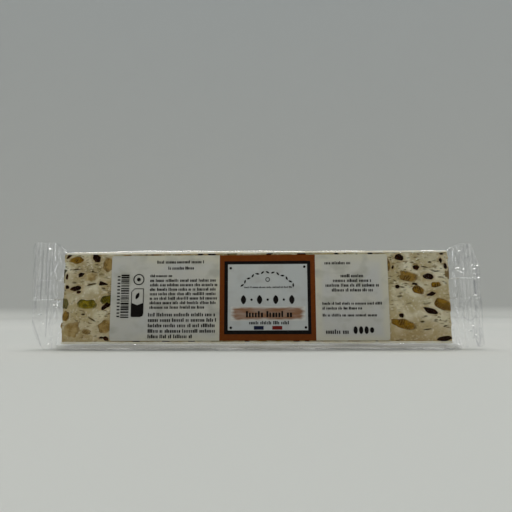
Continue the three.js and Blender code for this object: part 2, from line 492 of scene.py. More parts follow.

# How bits are spread where they aren't listed one by one: lengths, heights as shares of them, and corners.
Kind = namedtuple("Kind", "share lengths slimness corners")
KINDS = {
    "almond": Kind(0.34, (3.5, 10.5), (0.45, 0.85), (0, 0)),
    "pistachio": Kind(0.08, (4.5, 10.0), (0.42, 0.6), (0, 0)),
    "caramel": Kind(0.58, (1.2, 6.0), (0.3, 0.8), (3, 8)),
}
BITS_LOW = BAR_FOOT + WAFER_THICKNESS
BIT_AREA = 46  # square millimetres of cut face for each bit
BIT_SPACING = 0.8  # the least gap between two bits
CLOSENESS = 0.85  # how much of two bits' reach counts for that gap, as they aren't round
TRIES = 6  # for each bit wanted
TILT_SPREAD = 35  # degrees
BITS_SEED = 11


class Face:
    """One cut side of the bar: maps places on it, as x and z seen from outside, to the part's own axes."""

    def __init__(self, origin, across, outward, width):
        self.origin = np.array(origin)
        self.across = np.array(across)
        self.outward = np.array(outward)
        self.half = width / 2

    def place(self, x, z, proud):
        """The point at x across and z up, `proud` out of the cut."""
        x, z, proud = np.broadcast_arrays(x, z, proud)
        across, up = x[..., None] * self.across, z[..., None] * (0, 0, 1)
        return self.origin + across + up + proud[..., None] * self.outward

    def spots_of(self, points):
        """The places on this face of the points that lie on it, as x, z and which of the points they are."""
        local = points - self.origin
        on = np.abs(local @ self.outward) < 0.001
        return local[on] @ self.across, local[on][:, 2], np.flatnonzero(on)


FACES = {
    "front": Face((0, BAR_FRONT, 0), (1, 0, 0), (0, -1, 0), BAR_LENGTH),
    "back": Face((0, BAR_BACK, 0), (-1, 0, 0), (0, 1, 0), BAR_LENGTH),
    "left": Face((-HALF_LENGTH, BAR_MIDDLE_Y, 0), (0, -1, 0), (-1, 0, 0), BAR_DEPTH),
    "right": Face((HALF_LENGTH, BAR_MIDDLE_Y, 0), (0, 1, 0), (1, 0, 0), BAR_DEPTH),
}


def behind_label(bit):
    """True where the rule may put a bit on the front: only behind the sticker, clear of its edges."""
    reach = bit.length / 2
    return LABEL_LEFT + LABEL_SHADE + reach < bit.x < LABEL_RIGHT - LABEL_SHADE - reach


def spread_bits(face, placed, allowed, draw):
    """Bits by the rule, clear of those already placed, as a list of (kind, bit)."""
    high = BAR_TOP - WAFER_THICKNESS
    wanted = round(2 * face.half * (high - BITS_LOW) / BIT_AREA)
    taken = [(bit.x, bit.z, max(bit.length, bit.height) / 2) for _, bit in placed]
    found = []
    for _ in range(wanted * TRIES):
        kind = draw.choices(list(KINDS), [k.share for k in KINDS.values()])[0]
        rule = KINDS[kind]
        length = draw.uniform(*rule.lengths) ** 0.5 * draw.uniform(*rule.lengths) ** 0.5
        bit = Bit(
            draw.uniform(-face.half, face.half),
            draw.uniform(BITS_LOW, high),
            length,
            length * draw.uniform(*rule.slimness),
            draw.gauss(0, TILT_SPREAD),
            draw.randint(*rule.corners),
            draw.random(),
            draw.uniform(0, 0.5),
            draw.uniform(0, 360),
        )
        gaps = [math.hypot(bit.x - x, bit.z - z) - CLOSENESS * (reach + length / 2) for x, z, reach in taken]
        clear = all(gap > BIT_SPACING for gap in gaps)
        if clear and allowed(bit) and len(found) < wanted:
            found.append((kind, bit))
            taken.append((bit.x, bit.z, length / 2))
    return found


def all_bits():
    """Every bit by face: the front's bare ends as listed, and the rest by the rule."""
    draw = random.Random(BITS_SEED)
    by_hand = {"almond": FRONT_ALMONDS, "pistachio": FRONT_PISTACHIOS, "caramel": FRONT_CARAMELS}
    front = [(kind, bit) for kind, bits in by_hand.items() for bit in bits]
    front += spread_bits(FACES["front"], front, behind_label, draw)
    bits = {"front": front}
    for name in ("back", "left", "right"):
        bits[name] = spread_bits(FACES[name], [], lambda bit: True, draw)
    return bits


# A bit from its middle out to its rim and then inward: how wide each ring is, and how deep behind the cut, as
# a share of the bit's half height. The cut side is level, and what is inside is round.
RINGS = [(0.3, 0), (0.55, 0), (0.75, 0), (0.88, 0), (0.96, 0.01), (1.0, 0.06), (0.97, 0.3), (0.75, 0.75)]
RING_POINTS = 28
LUMPS = 7  # waves that make a rim uneven
LUMP_SIZE = 0.06
BIT_PROUD = 0.06  # past the knife's plane, in the bit's middle
BIT_ROUGHNESS = 0.05
BIT_GRAIN = 1.1
MOST_DEPTH = 2.4
BITS_HIGH = BAR_TOP - 0.9 * WAFER_THICKNESS  # where the upper wafer cuts them off
END_MARGIN = 0.1  # from a bit to the end of its face


def outline_of(bit, draw):
    """A bit's rim as points that reach 1 and -1 along its length and its height."""
    angles = np.arange(RING_POINTS) / RING_POINTS * TURN
    ways = np.column_stack([np.cos(angles), np.sin(angles)])
    lumps = [draw.uniform(-LUMP_SIZE, LUMP_SIZE) for _ in range(LUMPS)]
    radii = 1 + sum(lump * np.cos((n + 1) * angles + draw.uniform(0, 6)) for n, lump in enumerate(lumps))
    if bit.corners:
        turns = sorted((n + draw.uniform(-0.25, 0.25)) / bit.corners * TURN for n in range(bit.corners))
        tips = [tuple(draw.uniform(0.85, 1.12) * way for way in (math.cos(a), math.sin(a))) for a in turns]
        radii *= np.array([ray_to_polygon(way, tips) for way in ways])
        radii = (np.roll(radii, 1) + 2 * radii + np.roll(radii, -1)) / 4
    else:
        squareness = draw.uniform(2.1, 2.9)
        radii /= (np.abs(ways) ** squareness).sum(axis=1) ** (1 / squareness)
    rim = ways * radii[:, None]
    if not bit.corners:
        rim[:, 1] *= 1 + draw.uniform(-0.18, 0.18) * rim[:, 0]  # one end is narrower
    return rim / np.abs(rim).max(axis=0)


def ray_to_polygon(way, tips):
    """How far the ray in this direction goes from the origin to the polygon through the tips."""
    best = 1.3
    for (ax, ay), (bx, by) in zip(tips, tips[1:] + tips[:1]):
        edge = (bx - ax, by - ay)
        across = way[0] * edge[1] - way[1] * edge[0]
        if abs(across) < 1e-9:
            continue
        far = (ax * edge[1] - ay * edge[0]) / across
        along = (ax * way[1] - ay * way[0]) / across
        if far > 0 and -1e-6 <= along <= 1 + 1e-6:
            best = min(best, far)
    return best


def bit_faces():
    """The faces of a bit: a fan on the cut side, then from ring to ring, and a fan at its inner tip."""
    faces = []
    tip = 1 + len(RINGS) * RING_POINTS
    inner = tip - RING_POINTS
    for i in range(RING_POINTS):
        j = (i + 1) % RING_POINTS
        faces.append((0, 1 + i, 1 + j))
        for start in range(1, inner, RING_POINTS):
            faces.append((start + i, start + RING_POINTS + i, start + RING_POINTS + j, start + j))
        faces.append((inner + i, tip, inner + j))
    return faces


def bit_points(face, bit, draw):
    """The points of one bit set in a face, and their values."""
    outline = outline_of(bit, draw)
    depth = min(bit.height / 2, MOST_DEPTH)
    skin = math.radians(bit.skin - bit.tilt)
    skinned = 0.5 + 0.5 * np.cos(np.arctan2(outline[:, 1], outline[:, 0]) - skin)
    own, rim, veil = [[(0, 0, BIT_PROUD)]], [[0]], [[bit.veil]]
    for width, inward in RINGS:
        out = np.full(RING_POINTS, BIT_PROUD * (1 - width**4) - inward * depth)
        own.append(np.column_stack([outline * width * (bit.length / 2, bit.height / 2), out]))
        rim.append(width * (0.55 + 0.45 * skinned) if inward < 0.1 else np.ones(RING_POINTS))
        veil.append(bit.veil + 0.5 * (1 - skinned) * smooth_step(width, 0.7, 1.0))
    tip = ((own, (0, 0, -depth)), (rim, 1), (veil, 0))
    own, rim, veil = (np.concatenate([*rows, [end]]) for rows, end in tip)
    across = draw.uniform(-0.7, 0.7)  # radians from the bit's own length to its fibres
    start = np.array([draw.uniform(-9, 9) for _ in range(3)])
    grain = own @ np.array(Matrix.Rotation(across, 3, "Z")) + start
    own[:, 2] += noise_at(own, BIT_GRAIN, draw.uniform(0, 90)) * BIT_ROUGHNESS
    x, z = turned(own[:, 0], own[:, 1], bit.x, bit.z, bit.tilt)
    x = np.clip(x, END_MARGIN - face.half, face.half - END_MARGIN)
    points = face.place(x, np.clip(z, BITS_LOW, BITS_HIGH), own[:, 2])
    return points, {"rim": rim, "veil": veil, "grain": grain, "tone": [bit.tone] * len(points)}


def set_bits(bits, materials):
    """The almonds, pistachios and caramel bits, one piece for each kind."""
    draw = random.Random(BITS_SEED + 1)
    faces = bit_faces()
    for kind, (piece_name, material) in materials.items():
        heap = Heap()
        for face_name, found in bits.items():
            for _, bit in (pair for pair in found if pair[0] == kind):
                points, values = bit_points(FACES[face_name], bit, draw)
                heap.add(points, faces, **values)
        heap.finish(piece_name, material, kind)


# A crumb that is caught between the bar's left end and the film.
CRUMB_HALF = (0.6, 0.8, 1.35)
CRUMB_PLACE = (-HALF_LENGTH - 0.4, BAR_FRONT + 1.4, 11.4)


def crumb(material):
    sides = steps(-1, 1, 0.2)
    points, faces = block(sides, sides, sides)
    points = points / np.linalg.norm(points, axis=1)[:, None] * CRUMB_HALF
    points = points * (1 + 0.25 * noise_at(points, 0.6, 3))[:, None] + CRUMB_PLACE
    tone, veil = np.full(len(points), 0.5), np.full(len(points), 0.2)
    new_piece("almond_crumb", points, faces, material, "almond", tone=tone, veil=veil, grain=points)


# ---- The nougat and its wafers ----

FINE_STEP = 0.3  # of the nougat's mesh where the front is bare
COARSE_STEP = 1.1  # behind the sticker
DEPTH_STEP = 0.8
EDGE_ROUND = 0.5  # of the bar's edges
IN_WAFER = 0.2 * WAFER_THICKNESS  # how far the nougat reaches into each sheet

# The relief of a cut face.
FACE_WAVE = 0.16  # how deep the nougat's own surface lies behind the knife's plane, on average
FACE_WAVE_DEPTH = 0.12
END_WAVE_DEPTH = 0.4  # the same on the bar's two ends, which are cut less cleanly
BIT_DEPTH = 0.03  # and where it meets a bit
MEETS_BIT = 0.9  # how far from a bit it rises to it
HALO_REACH = 1.3  # how far round a bit it is darker
HALOS = {"almond": 0.25, "pistachio": 0.25, "caramel": 0.45}
FOOT_SHADE = 0.4  # painted shade: the nougat is a little darker towards its foot
PORE_DEPTH = 0.35
PORES = 1500
PORE_GROUPS = 6
PORE_LENGTHS = (0.4, 2.2)
LEAST_PORE = 0.3
PORES_SEED = 5
SLIT_POINTS = 14
SLIT_LAYERS = (-0.54, -0.04)  # the back and the front of a slit's own dark lens of painted shade

WAFERS = {"wafer_bottom": (BAR_FOOT, 0.3), "wafer_top": (BAR_TOP - WAFER_THICKNESS, 1.0)}  # foot, round edges
WAFER_PROUD = 0.08  # past the nougat's cut faces, in front and behind
WAFER_STEPS = (0.8, 0.2, 0.12)  # of their meshes along X, Y and Z


def ellipse_distance(x, z, bit):
    """About how far each place lies outside a bit's rim, and below 0 inside it."""
    u, v = turned(x - bit.x, z - bit.z, 0, 0, -bit.tilt)
    return (np.hypot(u / (bit.length / 2), v / (bit.height / 2)) - 1) * min(bit.length, bit.height) / 2


def pores_of(face, draw):
    """Small gaps over a face, in loose groups, most of them drawn out along the bar."""
    found = []
    for _ in range(round(PORES * face.half / HALF_LENGTH)):
        length = PORE_LENGTHS[0] + (PORE_LENGTHS[1] - PORE_LENGTHS[0]) * draw.random() ** 2.5
        height = length * draw.uniform(0.2, 0.45)
        x = draw.uniform(-face.half, face.half)
        z = draw.uniform(BAR_FOOT, BAR_TOP)
        if noise.noise(Vector((x, face.half, z)) / PORE_GROUPS) > 0:
            found.append(Bit(x, z, length, max(height, LEAST_PORE), draw.gauss(0, 14)))
    return found


def nougat_core(bits, material):
    """The block of nougat. Its cut faces wave a little behind the knife's plane, rise to meet each bit, and
    have pores."""
    low = (-HALF_LENGTH, BAR_FRONT, BITS_LOW - IN_WAFER)
    high = (HALF_LENGTH, BAR_BACK, BAR_TOP - WAFER_THICKNESS + IN_WAFER)
    borders = (low[0], LABEL_LEFT + LABEL_SHADE, LABEL_RIGHT - LABEL_SHADE, high[0])
    flat, faces = block(
        banded(borders, (FINE_STEP, COARSE_STEP, FINE_STEP)),
        steps(low[1], high[1], DEPTH_STEP),
        steps(low[2], high[2], FINE_STEP),
    )
    points = round_edges(flat, low, high, EDGE_ROUND)
    # Painted shade: the nougat is darker towards its foot.
    stain = FOOT_SHADE * (1 - smooth_step(points[:, 2], BAR_FOOT, BAR_FOOT + 0.5 * BAR_HEIGHT))
    pore = np.zeros(len(points))
    draw = random.Random(PORES_SEED)
    for name, face in FACES.items():
        x, z, on = face.spots_of(flat)
        wave = noise_at(flat[on], (9, 9, 5), 3) + 0.6 * noise_at(flat[on], 2.2, 8)
        sunk = FACE_WAVE + (FACE_WAVE_DEPTH if face.half == HALF_LENGTH else END_WAVE_DEPTH) * wave
        dent = np.zeros(len(on))
        for gap in pores_of(face, draw) + (FRONT_SLITS if name == "front" else []):
            near = (np.abs(x - gap.x) < gap.length) & (np.abs(z - gap.z) < gap.length)
            inside = 1 - smooth_step(ellipse_distance(x[near], z[near], gap), -0.15, 0.2)
            dent[near] = np.maximum(dent[near], inside * min(1, gap.length / 1.6))
        closeness = np.zeros(len(on))
        for kind, bit in bits[name]:
            reach = bit.length / 2 + 2
            near = (np.abs(x - bit.x) < reach) & (np.abs(z - bit.z) < reach)
            away = ellipse_distance(x[near], z[near], bit)
            closeness[near] = np.maximum(closeness[near], 1 - smooth_step(away, 0, MEETS_BIT))
            # Darker round each bit.
            halo = HALOS[kind] * (1 - smooth_step(away, 0, HALO_REACH)) ** 2
            stain[on[near]] = np.maximum(stain[on[near]], halo)
        dent *= 1 - closeness
        sunk = sunk * (1 - closeness) + BIT_DEPTH * closeness + dent * PORE_DEPTH
        points[on] -= sunk[:, None] * face.outward
        # Painted shade in the pores and slits.
        pore[on] = np.maximum(pore[on], dent * 0.9)
    new_piece("nougat_core", points, faces, material, "nougat", stain=stain, pore=pore)


def slit_gaps(material):
    """The front's larger slits, as thin dark lenses just over the nougat they cut: painted shade in the gaps.
    """
    heap = Heap()
    draw = random.Random(PORES_SEED + 1)
    angles = np.arange(SLIT_POINTS) / SLIT_POINTS * TURN
    for slit in FRONT_SLITS:
        bend = draw.uniform(-0.5, 0.5) * slit.height
        v = np.sin(angles) * slit.height / 2 + bend * np.sin(angles) ** 2
        x, z = turned(np.cos(angles) * slit.length / 2, v, slit.x, slit.z, slit.tilt)
        heap.add_lofted([FACES["front"].place(x, z, layer) for layer in SLIT_LAYERS])
    heap.finish("nougat_slit_shade", material, "nougat", smooth=False)


def wafers(material):
    """The two sheets of wafer on the bar's long narrow sides, wavy along their edges."""
    for name, (foot, edge_round) in WAFERS.items():
        low = (-HALF_LENGTH, BAR_FRONT - WAFER_PROUD, foot)
        high = (HALF_LENGTH, BAR_BACK + WAFER_PROUD, foot + WAFER_THICKNESS)
        points, faces = block(*map(steps, low, high, WAFER_STEPS))
        points = round_edges(points, low, high, edge_round)
        points[:, 2] += noise_at(points, (11, 8, LEVEL), foot) * 0.16
        from_middle = points[:, 1] - BAR_MIDDLE_Y
        edge = np.sign(from_middle) * smooth_step(np.abs(from_middle), 4, 6)
        points[:, 1] += edge * noise_at(points, (6, LEVEL, LEVEL), foot + 7) * 0.1
        new_piece(name, points, faces, material, "wafer")


# ---- The film ----

# The rest of the wrap's own sizes, as the CAD solid has them or a little inside it.
SEAL_HALF_THICKNESS = 0.35
SEAL_ROUND = 0.2
RIB_HEIGHT = 0.17
POUCH_INSET = 1.2
TOP_ROUND = 1.4
TOP_FLATNESS = 0.6  # of the film's slope over the bar's upper edges: 0 is round and 1 is straight
# How far the film stands off the bar's top along the bar, as x and height.
TOP_LIFTS = [(-90, 0.45), (-72, 0.65), (-54, 0.95), (-33, 0.75), (-20, 0.55), (2, 0.6), (26, 0.05), (90, 0.0)]
LEAST_TOP_LIFT = 0.03
POUCH_BULGE = 0.9  # how far the loose film under the bar swells
CORNER_CURVE = 1.4
BODY_TOP = BAR_TOP + FILM_SLACK
LEAST_HEIGHT = 0.02  # of the film over the table

BACK_SEAL_FOOT = 23.6
BACK_SEAL_WIDTH = 10
BACK_SEAL_PROUD = 0.5
BACK_SEAL_THICKNESS = 0.12
BACK_SEAL_RIBS = 6  # pressed along it
BACK_SEAL_RIB = 0.05
BACK_SEAL_BEAD = 0.28  # how far its two edges stand out where they are pressed into the end seals
BACK_SEAL_BEAD_WIDTH = 0.75

# Small pinched folds in the end seals and the shoulders, which glint: the middle, the length and the tilt.
Pinch = namedtuple("Pinch", "x z length tilt")
PINCHES = [
    Pinch(98.3, 46.3, 1.0, 5),
    Pinch(96.8, 38.1, 1.3, 18),
    Pinch(97.7, 36.6, 1.5, -20),
    Pinch(99.0, 35.8, 1.2, -16),
    Pinch(99.8, 37.5, 1.1, 12),
    Pinch(104.4, 39.3, 1.3, -14),
    Pinch(104.9, 37.7, 1.6, 8),
    Pinch(106.3, 39.2, 1.0, 16),
    Pinch(105.0, 35.3, 1.1, -10),
    Pinch(106.7, 33.5, 1.2, 6),
    Pinch(104.6, 25.1, 1.4, 2),
    Pinch(102.6, 10.8, 1.5, 15),
    Pinch(101.2, 8.4, 1.7, -18),
    Pinch(103.6, 6.6, 1.2, 8),
    Pinch(-95.9, 22.9, 1.4, 20),
    Pinch(-96.6, 21.2, 1.2, -14),
    Pinch(-95.2, 20.2, 0.9, 12),
    Pinch(-99.2, 2.6, 1.3, -6),
    Pinch(-107.0, 24.8, 1.0, 10),
    Pinch(-101.0, 48.9, 1.2, -8),
    Pinch(-104.0, 16.8, 1.3, 14),
    Pinch(-102.2, 12.4, 1.1, -12),
]
PINCH_REACH = 0.3  # from a pinched fold's middle line to its edges
PINCH_LAYERS = 14
PINCH_RINGS, PINCH_SIDES = 7, 4

# Where light is bent away by sharp folds in the end seals: both ends, and half the width.
Fold = namedtuple("Fold", "x0 z0 x1 z1 half_width")
FOLDS = [
    Fold(98.1, 44.8, 97.7, 40.2, 0.35),
    Fold(104.6, 32.0, 104.9, 25.6, 0.75),
    Fold(107.0, 24.0, 108.0, 6.0, 0.3),
    Fold(-102.0, 49.0, -101.7, 26.0, 0.4),
    Fold(-104.2, 48.0, -104.4, 24.0, 0.25),
    Fold(-100.6, 40.0, -100.8, 6.0, 0.2),
    Fold(-107.7, 14.0, -102.9, 2.0, 0.25),
]

# How many loose layers of film each place mirrors like, and how milky each place is.
ON_BAR_LAYERS = 0.25
SHOULDER_LAYERS = 0.7
SEAL_LAYERS = 3
POUCH_LAYERS = 2
TOP_EDGE_LAYERS = 5
FOOT_EDGE_LAYERS = 1.5
BACK_SEAL_LAYERS = 0.8
BEAD_LAYERS = 14
SEAL_HAZE = 0.02
SHOULDER_HAZE = 0.02
OUTER_EDGE_HAZE = 0.06
# In the pouch this haze is dark: painted shade of the shadow under the bar.
POUCH_HAZE = 0.3
POUCH_STREAKS = 0.22

FILM_STEP = 0.9  # of the film's mesh along the bar
SEAL_STEP = 0.19  # and across the ribs
SHOULDER_STEP = 0.35
# Round a section: on each corner, up a side, and along the top and the foot.
ARC_STEPS, RISE_POINTS, RUN_POINTS = 8, 100, 6


def ribs(points):
    """The crimp at each point, from -1 to 1 over each rib. The ribs wander a little and are uneven."""
    out = np.abs(points[:, 0]) - HALF_LENGTH
    wander = 0.35 * noise_at(points, (60, 60, 14), 17)
    strength = 0.7 + 1.2 * noise_at(points, (2, 60, 22), 51)
    wave = np.sin(TURN * (out + wander - SHOULDER) / RIB_PITCH)
    return smooth_step(out, SHOULDER, SHOULDER + 1) * strength * wave


def corner_cut(corner, to_edge):
    """How much of a seal's height its turned-in corner takes away, at `to_edge` from its outer edge."""
    width, height = corner
    return height * np.clip(1 - to_edge / width, 0, 1) ** CORNER_CURVE


def arc(y, z, wide, tall, quarter, flatness=0.0):
    """Points on a quarter of an ellipse round y and z, from `quarter` quarter turns on, ends included."""
    shares = np.arange(ARC_STEPS + 1)[:, None] / ARC_STEPS
    angles = (quarter + shares) * TURN / 4
    curve = (y, z) + np.hstack([wide * np.cos(angles), tall * np.sin(angles)])
    chord = curve[0] + (curve[-1] - curve[0]) * shares
    return curve + (chord - curve) * flatness


def line(start, end, count):
    """`count` points spread evenly between two, both ends left out."""
    return np.array(start) + (np.array(end) - start) * np.arange(1, count + 1)[:, None] / (count + 1)


def section(side, out):
    """The film's outline at `out` beyond the bar's end, as points, anticlockwise with +Y to the right."""
    seal = LEFT_SEAL if side < 0 else RIGHT_SEAL
    to_edge = reach_of(seal) - out
    closing = min(out / SHOULDER, 1)
    open_sizes = np.array((HALF_DEPTH, 0, BODY_TOP, POUCH_INSET, POUCH_DROP, TOP_ROUND))
    shut_sizes = np.array((SEAL_HALF_THICKNESS, seal.foot, seal.top, SEAL_ROUND, SEAL_ROUND, SEAL_ROUND))
    half, foot, top, inset, drop, curve = open_sizes + (shut_sizes - open_sizes) * closing
    foot += corner_cut(seal.foot_corner, to_edge)
    top -= corner_cut(seal.top_corner, to_edge)
    low, high = foot + drop, top - curve
    flatness = TOP_FLATNESS * (1 - closing)
    rows = [
        arc(half - inset, low, inset, drop, -1),
        line((half, low), (half, high), RISE_POINTS),
        arc(half - curve, high, curve, curve, 0, flatness),
        line((half - curve, top), (curve - half, top), RUN_POINTS),
        arc(curve - half, high, curve, curve, 1, flatness),
        line((-half, high), (-half, low), RISE_POINTS),
        arc(inset - half, low, inset, drop, 2),
        line((inset - half, foot), (half - inset, foot), RUN_POINTS),
    ]
    y, z = np.vstack(rows).T
    flare = seal.flare * out / reach_of(seal) * (z - BACK_SEAL_FOOT)
    return np.column_stack([side * (HALF_LENGTH + out + flare), y + BAR_MIDDLE_Y, z])


def film_shape():
    """The film's smooth shape as (points, faces), lofted from the left seal's edge to the right one's."""
    shoulder = steps(0, SHOULDER, SHOULDER_STEP)[:-1]
    left, right = (shoulder + steps(SHOULDER, reach_of(seal), SEAL_STEP) for seal in (LEFT_SEAL, RIGHT_SEAL))
    rings = [section(-1, out) for out in reversed(left)]
    for x in steps(-HALF_LENGTH, HALF_LENGTH, FILM_STEP)[1:-1]:
        rings.append(section(1, 0) + (x - HALF_LENGTH, 0, 0))
    rings += [section(1, out) for out in right]
    return np.vstack(rings), loft(len(rings), len(rings[0]))


def point_normals(points, faces):
    """The outward direction at each point."""
    mesh = bpy.data.meshes.new("normals")
    mesh.from_pydata(points.tolist(), [], faces)
    normals = np.zeros(points.size)
    mesh.vertex_normals.foreach_get("vector", normals)
    bpy.data.meshes.remove(mesh)
    return normals.reshape(-1, 3)


def looseness(points):
    """How much each point belongs to the shoulders, the end seals, the pouch under the bar and the top."""
    z = points[:, 2]
    out = np.abs(points[:, 0]) - HALF_LENGTH
    seal = smooth_step(out, SHOULDER - 0.5, SHOULDER + 1)
    shoulder = smooth_step(out, -1.5, 2) * (1 - smooth_step(out, SHOULDER - 1, SHOULDER + 3))
    pouch = (1 - smooth_step(z, BAR_FOOT - 1, BAR_FOOT + 0.3)) * smooth_step(z, 0.1, 0.6)
    pouch = pouch * (1 - smooth_step(out, 0, 6))
    top = smooth_step(z, BAR_TOP - 1.2, BAR_TOP - 0.4) * (1 - seal)
    return shoulder, seal, pouch, top


def crumple(points):
    """How far the film stands out of its smooth shape at each point."""
    shoulder, seal, pouch, top = looseness(points)
    fan = creases_at(points, (6, 5, 7), 2)
    sharp = creases_at(points, (2.4, 3, 11), 21)
    broad = creases_at(points, (5, 5, 16), 33)
    long = creases_at(points, (26, 4, 1.5), 40)
    lift = np.interp(points[:, 0], *np.transpose(TOP_LIFTS)) + 0.3 * noise_at(points, (13, 30, 30), 60)
    return (
        0.05 * (long - 0.5)
        + shoulder * (0.8 * (fan - 0.45) + 0.35 * (sharp - 0.45))
        + seal * (0.25 * (broad - 0.4) + 0.08 * (sharp - 0.4))
        + pouch * (POUCH_BULGE + 0.45 * (long - 0.5))
        + top * np.maximum(lift, LEAST_TOP_LIFT)
    )


def on_fold(points, fold):
    """1 along the fold's middle line, and 0 past its half width."""
    along = np.array([fold.x1 - fold.x0, fold.z1 - fold.z0])
    local = points[:, [0, 2]] - (fold.x0, fold.z0)
    share = np.clip(local @ along / (along @ along), 0, 1)
    away = np.linalg.norm(local - share[:, None] * along, axis=1)
    return 1 - smooth_step(away, 0.3 * fold.half_width, fold.half_width)


def folds(points):
    """How much painted shade each point takes, where less light gets through: on a sharp fold or a rib, and in
    the pouch, for the shadow under the bar.
    """
    shoulder, seal, pouch, _ = looseness(points)
    fine = 1 - smooth_step(creases_at(points, (1.6, 3, 9), 64), 0, 0.16)
    wide = 1 - smooth_step(creases_at(points, (4, 4, 7), 12), 0, 0.1)
    patchy = smooth_step(noise_at(points, (5, 9, 12), 29), -0.2, 0.3)
    crimped = smooth_step(ribs(points), 0.7, 1.2)
    # The pouch's share is painted shade of the shadow under the bar.
    shade = np.maximum(shoulder, seal) * patchy * np.maximum(fine, wide) + 0.6 * seal * crimped + 0.3 * pouch
    for fold in FOLDS:
        shade = np.maximum(shade, on_fold(points, fold))
    return np.clip(shade, 0, 1)


def film(material):
    """The clear film, as one closed skin."""
    flat, faces = film_shape()
    points = flat + point_normals(flat, faces) * crumple(flat)[:, None]
    points[:, 1] += RIB_HEIGHT * ribs(flat)
    points[:, 2] = np.maximum(points[:, 2], LEAST_HEIGHT)
    x, _, z = flat.T
    shoulder, seal, pouch, _ = looseness(flat)
    reach = np.where(x < 0, reach_of(LEFT_SEAL), reach_of(RIGHT_SEAL))
    edge = smooth_step(np.abs(x) - HALF_LENGTH - reach, -0.5, 0)
    # How much dark haze, painted shade of the shadow under the bar, the pouch takes, less right at the table.
    milky = pouch * (0.4 + 0.6 * smooth_step(z, 0.3, 1.6))
    milky *= 1 - smooth_step(z, BAR_FOOT - 1.2, BAR_FOOT - 0.2)
    haze = SEAL_HAZE * seal + SHOULDER_HAZE * shoulder * creases_at(flat, 3, 77) + OUTER_EDGE_HAZE * edge
    haze += milky * (POUCH_HAZE + POUCH_STREAKS * creases_at(flat, (30, 4, 1.0), 13))
    top_edge = smooth_step(z, BAR_TOP - 1.3, BAR_TOP - 0.9) * (1 - shoulder) * (1 - seal)
    foot_edge = (1 - smooth_step(z, 0.3, 0.8)) * (1 - seal)
    layers = ON_BAR_LAYERS + SHOULDER_LAYERS * shoulder + SEAL_LAYERS * seal * (1 - 0.8 * edge)
    layers += POUCH_LAYERS * pouch + TOP_EDGE_LAYERS * top_edge + FOOT_EDGE_LAYERS * foot_edge
    values = {"haze": haze, "layers": layers, "pouch_shade": pouch, "fold": folds(flat)}
    piece = new_piece("film_wrap", points, faces, material, "film", **values)
    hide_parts("film_pack")


def pinches(material):
    """The small pinched folds, as sharp four-sided spindles half sunk in the film's two sides."""
    heap = Heap()
    angles = np.arange(PINCH_SIDES) / PINCH_SIDES * TURN
    for pinch in PINCHES:
        closing = min((abs(pinch.x) - HALF_LENGTH) / SHOULDER, 1)
        half = HALF_DEPTH + (SEAL_HALF_THICKNESS - HALF_DEPTH) * closing
        for y in (BAR_MIDDLE_Y - half, BAR_MIDDLE_Y + half):
            rings = []
            for share in (2 * np.arange(PINCH_RINGS) + 1) / PINCH_RINGS - 1:
                radius = PINCH_REACH * (1 - share**4)
                u, v = share * pinch.length / 2, radius * np.sin(angles)
                x, z = turned(u, v, pinch.x, pinch.z, pinch.tilt)
                rings.append(np.column_stack([x, y + radius * np.cos(angles), z]))
            heap.add_lofted(rings)
    layers = np.full(len(heap.points), PINCH_LAYERS)
    heap.finish("film_pinches", material, "film", smooth=False, layers=layers)


def back_seal(material):
    """The long seal on the back: the film's two edges, pressed together and folded up flat."""
    left, right = (HALF_LENGTH + reach_of(seal) for seal in (LEFT_SEAL, RIGHT_SEAL))
    top = BACK_SEAL_FOOT + BACK_SEAL_WIDTH
    outside = BAR_BACK + FILM_SLACK + BACK_SEAL_PROUD
    depths = [outside - BACK_SEAL_THICKNESS, outside]
    points, faces = block(steps(-left, right, 0.4), depths, steps(BACK_SEAL_FOOT, top, 0.25))
    x, _, z = points.T
    closing = np.clip((np.abs(x) - HALF_LENGTH) / SHOULDER, 0, 1)
    lift = (z - BACK_SEAL_FOOT) / BACK_SEAL_WIDTH
    to_edge = np.minimum(z - BACK_SEAL_FOOT, top - z)
    at_edge = np.clip(1 - to_edge / BACK_SEAL_BEAD_WIDTH, 0, 1)
    wave = 0.25 * (1 - closing) * lift * noise_at(points, (14, 30, 9), 90)
    lines = BACK_SEAL_RIB * (1 - closing) * np.sin(TURN * lift * BACK_SEAL_RIBS)
    inward = (HALF_DEPTH - SEAL_HALF_THICKNESS + 0.6 * BACK_SEAL_PROUD) * closing
    bead = BACK_SEAL_BEAD * closing * np.sin(math.pi * at_edge)
    points[:, 1] += RIB_HEIGHT * ribs(points) - inward + wave + lines - bead
    haze = 0.01 + 0.02 * creases_at(points, 4, 31) + 0.15 * (1 - smooth_step(to_edge, 0, 0.4))
    bright = np.where((lift > 0.5) == (x > 0), 1.0, 0.3)  # of the edges in each end seal
    layers = BACK_SEAL_LAYERS + BEAD_LAYERS * closing * bright * (at_edge > 0)
    new_piece("film_back_seal", points, faces, material, "film", haze=haze, layers=layers)


# ---- The sticker ----

LABEL_CORNER = 1.3
PAPER_STEPS = (0.22, 1.0, 0.19)  # of its mesh: in its first corners, between them, and in its last
PAPER_THICKNESS = 0.2
PRINT_STEP = 0.025  # from one layer of print to the next
PLATE_LAYERS = 1.5  # how many of those a plate of print is thick
PAPER_FACE = label_high.y - PAPER_THICKNESS

